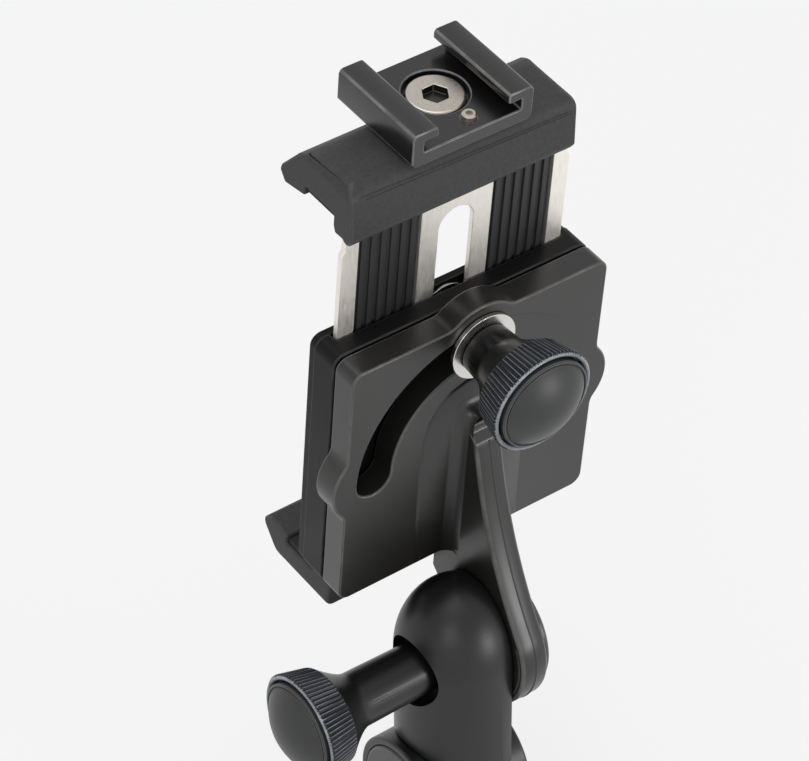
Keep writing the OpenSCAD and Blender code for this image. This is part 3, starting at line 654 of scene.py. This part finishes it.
def armEdge():
    # places along the edge in y, z from the eye's middle, each with the way out of the metal
    head = (seamAhead + plateRear - arm["proud"], pivotUp + arm["headUp"])
    reach = arm["eye"] + arm["curve"]
    far = math.hypot(*head)
    meet = math.atan2(*head) + math.asin((reach ** 2 + far ** 2 - arm["curve"] ** 2) / (2 * reach * far))
    bend = (-reach * math.cos(meet), reach * math.sin(meet))
    top = math.atan2(head[1] - bend[1], head[0] - bend[0])
    edge = []
    for i in range(arm["curveSteps"] + 1):
        angle = top + (-meet - top) * i / arm["curveSteps"]
        way = (math.cos(angle), math.sin(angle))
        place = (bend[0] + arm["curve"] * way[0], bend[1] + arm["curve"] * way[1])
        edge.append((place, (-way[0], -way[1])))
    for i in range(1, arm["eyeSteps"] + 1):
        angle = math.pi - meet + math.radians(arm["eyeTurn"]) * i / arm["eyeSteps"]
        way = (math.cos(angle), math.sin(angle))
        edge.append(((arm["eye"] * way[0], arm["eye"] * way[1]), way))
    return edge


edge = armEdge()

# rounded band along the arm's edge, with a smooth heel where it runs into the eye
band = {
    "half": 2.69, "deep": 0.9, "chamfer": 0.55, "round": 0.17, "highlighted": (1, 2, 4, 5),
    "rise": 0.15, "sunk": 0.04, "startSteps": 2, "endSteps": 3,
    "heelLift": 0.17, "heelFirst": 13, "heelLast": 43,
}


def bandRise(step):
    # how far the band stands over the arm's edge, along the edge's places
    ends = min(1.0, step / band["startSteps"], (len(edge) - 1 - step) / band["endSteps"])
    share = (step - band["heelFirst"]) / (band["heelLast"] - band["heelFirst"])
    heel = band["heelLift"] * math.sin(math.pi * min(1.0, max(0.0, share))) ** 2
    return band["rise"] * ends - band["sunk"] * (1 - ends) + heel


def alongEdge(name, section, rises):
    # a section in x and height, carried along the arm's edge
    points = []
    for ((y, z), (wayY, wayZ)), rise in zip(edge, rises):
        for x, height in section:
            out = rise + height
            points.append((x, y + wayY * out - seamAhead, z + wayZ * out - pivotUp))
    faces = ringFaces(len(edge), len(section), closed=False)
    return meshPiece(name, points, faces, "arm", "castingPaint")


bandSide = [
    (band["half"] - band["chamfer"], 0.0), (band["half"] - band["round"], -band["round"]),
    (band["half"], -band["chamfer"]), (band["half"], -band["deep"]),
]
section = [(-x, height) for x, height in reversed(bandSide)] + bandSide
rises = [bandRise(step) for step in range(len(edge))]
bandPiece = alongEdge("armBand", section, rises)
# the band's chamfer faces carry 1 in "rim", for the painted edge highlight
bandRim = bandPiece.data.attributes.new("rim", "FLOAT", "FACE")
strips = len(section) - 1
bandFaces = range(len(bandPiece.data.polygons))
bandRim.data.foreach_set("value", [float(index % strips in band["highlighted"]) for index in bandFaces])

# parting line down the back of the arm and round its eye
parting = {"across": 0.2, "quarter": 0.125, "height": 0.16, "shoulder": 0.12, "sunk": 0.06}
heights = (-parting["sunk"], parting["shoulder"], parting["height"], parting["shoulder"], -parting["sunk"])
section = [(parting["across"] + (i - 2) * parting["quarter"], height) for i, height in enumerate(heights)]
alongEdge("armParting", section, [max(0.0, rise) for rise in rises])

# faint parting line under the top of the upper jaw
jawLine = {
    "rear": 2.2, "left": (-20.0, 54.7), "right": (20.4, 53.7), "height": 0.07,
    "profile": ((-0.11, -0.05), (-0.044, 1.0), (0.044, 1.0), (0.11, -0.05)),  # up, and share of height
}
points = []
for x, z in (jawLine["left"], jawLine["right"]):
    points += [(x, jawLine["rear"] - share * jawLine["height"], z + up) for up, share in jawLine["profile"]]
faces = ringFaces(2, len(jawLine["profile"]), closed=False)
meshPiece("jawParting", points, faces, "upper_jaw", "softRubber")
print("added forms: %d" % len(addedForms))

# floor paper; looked at, or mirrored in metal, it is nearly white, and still takes the shadow
floor = {
    "half": 3.0, "paper": (0.70, 0.70, 0.70), "bounce": (0.35, 0.35, 0.35), "roughness": 0.9, "glow": 0.75,
}
floorMesh = bpy.data.meshes.new("floor")
corners = [(x * floor["half"], y * floor["half"], 0) for x, y in ((-1, -1), (1, -1), (1, 1), (-1, 1))]
floorMesh.from_pydata(corners, [], [(0, 1, 2, 3)])
floorObject = bpy.data.objects.new("floor", floorMesh)
bpy.context.collection.objects.link(floorObject)
floorMaterial, floorTree, floorShader = newMaterial("floorPaper")
floorPath = floorTree.nodes.new("ShaderNodeLightPath")
floorColour = colourMix(floorTree, floorPath.outputs["Is Diffuse Ray"], floor["paper"], floor["bounce"])
floorTree.links.new(floorColour, floorShader.inputs["Base Color"])
floorShader.inputs["Roughness"].default_value = floor["roughness"]
glow = floorTree.nodes.new("ShaderNodeEmission")
glowMix = floorTree.nodes.new("ShaderNodeMixShader")
looked = mathNode(floorTree, "ADD", floorPath.outputs["Is Camera Ray"], floorPath.outputs["Is Glossy Ray"])
looked = mathNode(floorTree, "ADD", looked, floorPath.outputs["Is Transmission Ray"])
floorTree.links.new(mathNode(floorTree, "MULTIPLY", looked, floor["glow"]), glowMix.inputs[0])
floorTree.links.new(floorShader.outputs[0], glowMix.inputs[1])
floorTree.links.new(glow.outputs[0], glowMix.inputs[2])
floorTree.links.new(glowMix.outputs[0], floorTree.nodes["Material Output"].inputs["Surface"])
floorMesh.materials.append(floorMaterial)

# a white wall behind the floor, fading to a dim room above it
sky = {
    "wall": (1.0, 1.0, 1.0), "room": (0.66, 0.66, 0.67), "wallTop": 0.12, "roomFrom": 0.40, "strength": 1.0,
}
world = bpy.data.worlds.new("studio")
bpy.context.scene.world = world
world.use_nodes = True
worldTree = world.node_tree
skyNode = worldTree.nodes["Background"]
skyWay = worldTree.nodes.new("ShaderNodeSeparateXYZ")
worldTree.links.new(worldTree.nodes.new("ShaderNodeTexCoord").outputs["Generated"], skyWay.inputs["Vector"])
skyMask = rangeNode(worldTree, skyWay.outputs["Z"], 0.0, 1.0, sky["wallTop"], sky["roomFrom"])
worldTree.links.new(colourMix(worldTree, skyMask, sky["wall"], sky["room"]), skyNode.inputs["Color"])
skyNode.inputs["Strength"].default_value = sky["strength"]

# soft lamps, with their places and sizes in metres
lamps = {
    "topBox": {"place": (-0.10, 0.05, 1.10), "aim": (0, 0, 0.08), "size": (0.9, 0.9), "power": 3.0},
    "leftBox": {"place": (-0.74, -0.56, 0.56), "aim": (0, 0, 0.08), "size": (0.34, 0.34), "power": 1.2},
    "rightBox": {"place": (0.40, -1.02, 0.12), "aim": (0, 0, 0.05), "size": (0.34, 0.40), "power": 4.0},
}
for name, lamp in lamps.items():
    lampData = bpy.data.lights.new(name, "AREA")
    lampData.shape = "RECTANGLE"
    lampData.size, lampData.size_y = lamp["size"]
    lampData.energy = lamp["power"]
    lampObject = bpy.data.objects.new(name, lampData)
    lampObject.location = lamp["place"]
    lampWay = Vector(lamp["aim"]) - Vector(lamp["place"])
    lampObject.rotation_euler = lampWay.to_track_quat("-Z", "Y").to_euler()
    bpy.context.collection.objects.link(lampObject)

bpy.context.scene.view_settings.view_transform = "Standard"
print("studio lit")
